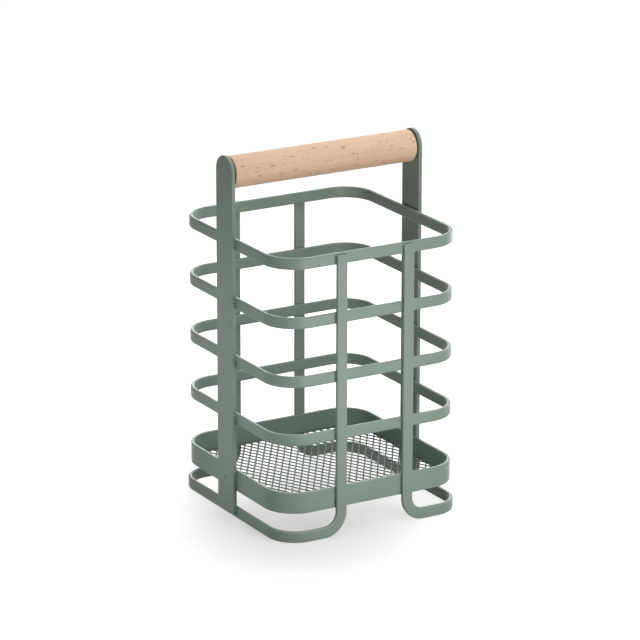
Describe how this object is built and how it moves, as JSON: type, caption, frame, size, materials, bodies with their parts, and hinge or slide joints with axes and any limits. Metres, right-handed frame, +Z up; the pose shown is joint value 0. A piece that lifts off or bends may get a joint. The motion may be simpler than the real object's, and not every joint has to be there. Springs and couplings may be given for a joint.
{
  "type": "utensil holder",
  "caption": "Free-standing cage of welded flat-bar rings with a mesh floor in a base band, bent-bar feet and a rolling wooden grip between two uprights, for kitchen utensils.",
  "frame": {"origin": "on the floor, at the middle of the footprint", "axes": "+Z up, +X from the left upright to the right upright along the grip, +Y from front to back"},
  "size_m": [0.1344, 0.135, 0.23],
  "materials": {
    "powder_coat": "satin grey-green powder coat",
    "beech": "sanded pale beech with short brown flecks",
    "bare_steel": "turned bare steel"
  },
  "bodies": {
    "cage": {"left_upright": "powder_coat", "right_upright": "powder_coat", "top_ring": "powder_coat", "upper_middle_ring": "powder_coat", "lower_middle_ring": "powder_coat", "bottom_ring": "powder_coat", "base_band": "powder_coat", "mesh_floor": "powder_coat", "mesh_tacks": "powder_coat", "left_side_wire": "powder_coat", "right_side_wire": "powder_coat", "left_upright_welds": "powder_coat", "right_upright_welds": "powder_coat", "left_wire_welds": "powder_coat", "right_wire_welds": "powder_coat", "left_grip_stud": "bare_steel", "right_grip_stud": "bare_steel"},
    "grip": {"wooden_grip": "beech"}
  },
  "joints": [
    {"name": "grip_roll", "type": "hinge", "parent": "cage", "child": "grip", "pos_m": [0, 0, 0.2192], "axis": [1, 0, 0], "continuous": true}
  ]
}
